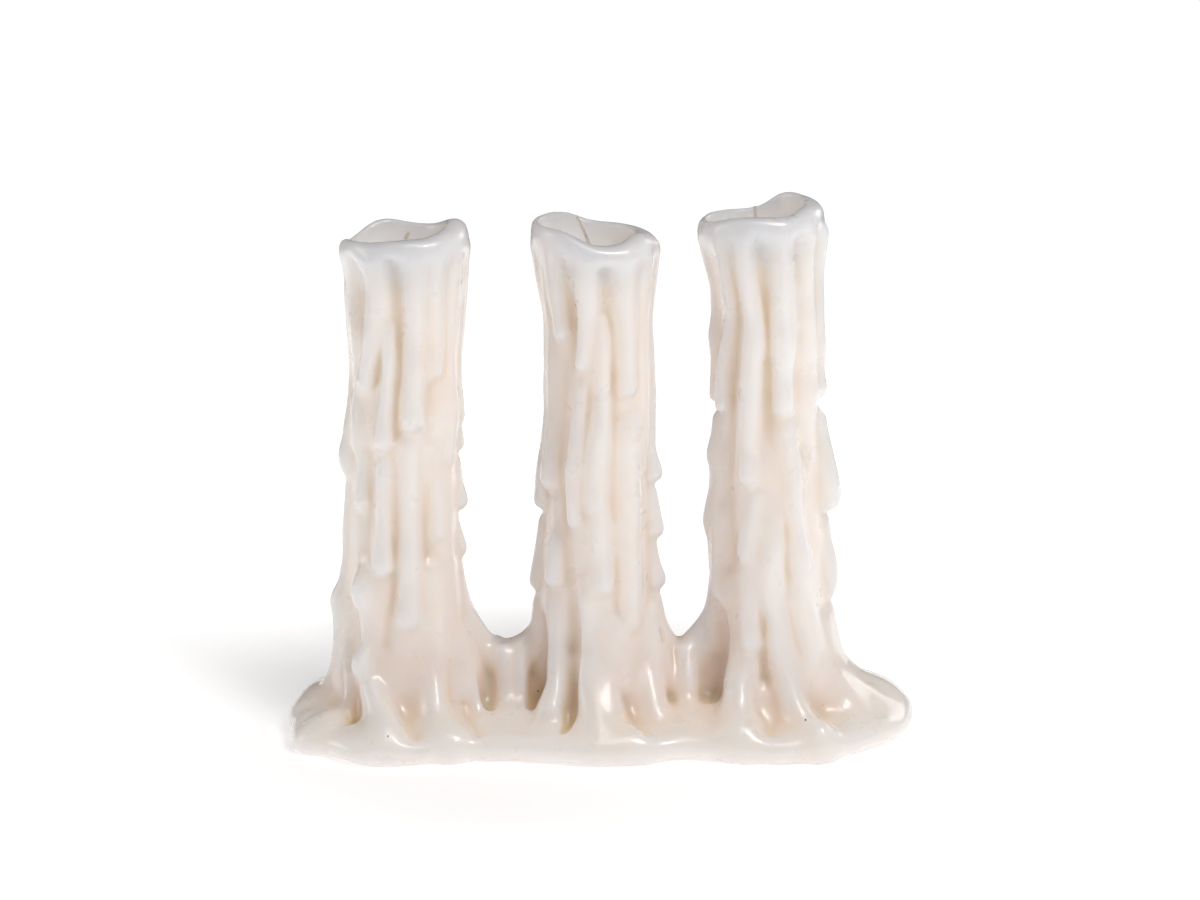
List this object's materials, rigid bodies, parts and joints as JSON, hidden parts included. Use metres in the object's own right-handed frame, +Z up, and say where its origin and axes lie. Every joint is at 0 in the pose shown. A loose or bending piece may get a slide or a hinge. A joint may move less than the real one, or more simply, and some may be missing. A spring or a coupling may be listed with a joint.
{
  "type": "melted candle",
  "caption": "Sculptural melted candle: ivory pillar stems with wax drips, melt cups and wicks, joined by webs over a shared set pool of wax.",
  "frame": {"origin": "middle of the footprint's bounding box, on the surface that the wax pool rests on", "axes": "+X along the row of stems, to the right as seen from the front; +Y away from the viewer at the front; +Z up"},
  "size_m": [0.2293, 0.0948, 0.1955],
  "materials": {
    "wax": "satin, slightly translucent ivory wax",
    "wick": "waxed braided cotton, unburnt"
  },
  "bodies": {
    "root": {"wax_body": "wax", "wick_left": "wick", "wick_middle": "wick", "wick_right": "wick"}
  },
  "joints": []
}
